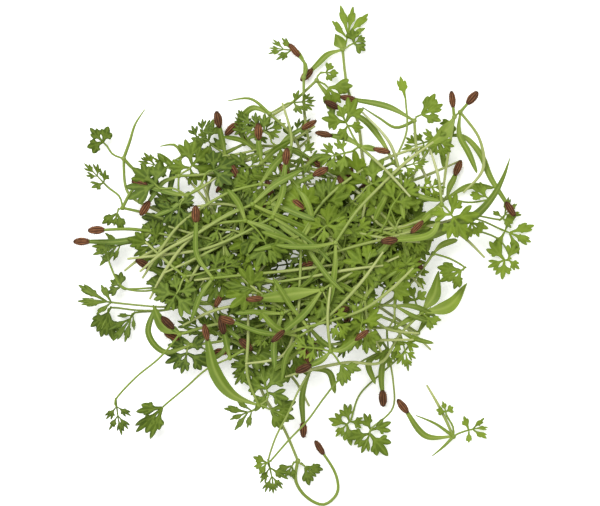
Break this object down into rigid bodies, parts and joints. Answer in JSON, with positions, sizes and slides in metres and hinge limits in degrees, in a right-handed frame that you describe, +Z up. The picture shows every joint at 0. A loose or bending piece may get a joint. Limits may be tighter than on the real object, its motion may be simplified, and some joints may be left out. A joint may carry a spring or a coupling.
{
  "type": "heap of cut carrot microgreens",
  "caption": "Loose heap of cut carrot seedlings with pale stems, long seed leaves, small cut true leaves and brown seed husks",
  "frame": {"origin": "on the surface that the heap lies on, under the middle of the heap's outline", "axes": "+Z up out of the surface, +Y towards the top of the picture, which looks straight down"},
  "size_m": [0.0877, 0.0968, 0.0161],
  "materials": {
    "seedling": "satin",
    "husk": "matte"
  },
  "bodies": {
    "root": {"seedling_01": "seedling", "seedling_02": "seedling", "seedling_03": "seedling", "seedling_04": "seedling", "husk_04": "husk", "seedling_05": "seedling", "seedling_06": "seedling", "seedling_07": "seedling", "husk_07": "husk", "seedling_08": "seedling", "husk_08": "husk", "seedling_09": "seedling", "seedling_10": "seedling", "seedling_11": "seedling", "husk_11": "husk", "seedling_12": "seedling", "seedling_13": "seedling", "seedling_14": "seedling", "seedling_15": "seedling", "seedling_16": "seedling", "seedling_17": "seedling", "husk_17": "husk", "seedling_18": "seedling", "husk_18": "husk", "seedling_19": "seedling", "husk_19": "husk", "seedling_20": "seedling", "seedling_21": "seedling", "husk_21": "husk", "seedling_22": "seedling", "husk_22": "husk", "seedling_23": "seedling", "seedling_24": "seedling", "seedling_25": "seedling", "seedling_26": "seedling", "husk_26": "husk", "seedling_27": "seedling", "husk_27": "husk", "seedling_28": "seedling", "seedling_29": "seedling", "seedling_30": "seedling", "husk_30": "husk", "seedling_31": "seedling", "seedling_32": "seedling", "husk_32": "husk", "seedling_33": "seedling", "husk_33": "husk", "seedling_34": "seedling", "seedling_35": "seedling", "seedling_36": "seedling", "seedling_37": "seedling", "seedling_38": "seedling", "seedling_39": "seedling", "seedling_40": "seedling", "seedling_41": "seedling", "seedling_42": "seedling", "seedling_43": "seedling", "husk_43": "husk", "seedling_44": "seedling", "seedling_45": "seedling"}
  },
  "joints": []
}
